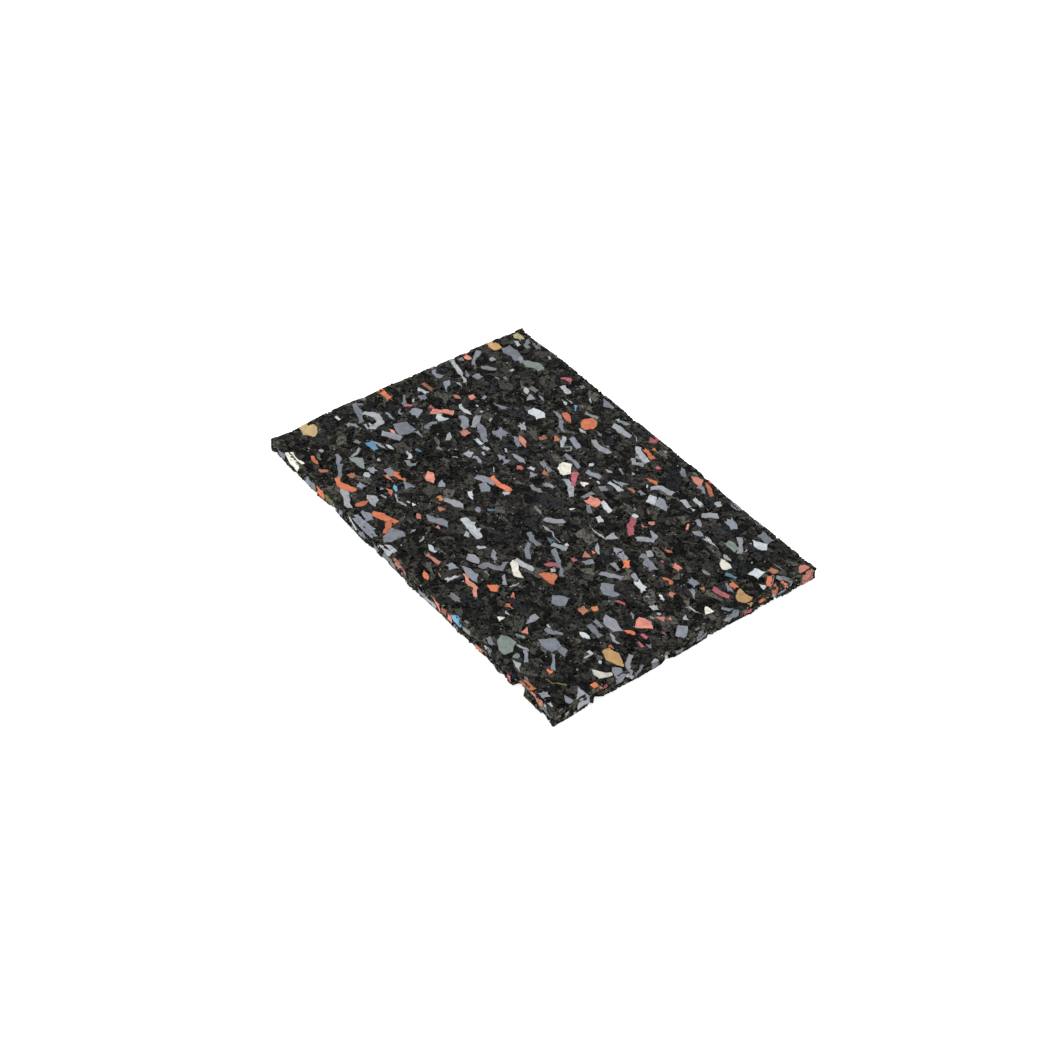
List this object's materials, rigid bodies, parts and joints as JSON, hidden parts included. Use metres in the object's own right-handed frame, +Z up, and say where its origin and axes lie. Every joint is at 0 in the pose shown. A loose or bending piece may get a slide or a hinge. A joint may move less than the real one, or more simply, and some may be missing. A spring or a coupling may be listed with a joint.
{
  "type": "rubber mat",
  "caption": "Small flat mat cut from pressed sheet of bonded black rubber crumb with coloured rubber flakes, for underlay, damping or a flooring sample.",
  "frame": {"origin": "middle of the underside, on the surface the mat lies on", "axes": "+X along the length, +Y along the width, +Z up through the thickness"},
  "size_m": [0.148, 0.105, 0.0045],
  "materials": {
    "crumb_rubber": "matt black granulate, pressed and bonded, with fine pits between the crumbs and small glints",
    "colour_flakes": "flat matt flakes set flush: mostly blue grey, some light grey and orange to red, a few cream, tan and blue"
  },
  "bodies": {
    "root": {"rubber_mat": "crumb_rubber"}
  },
  "joints": []
}
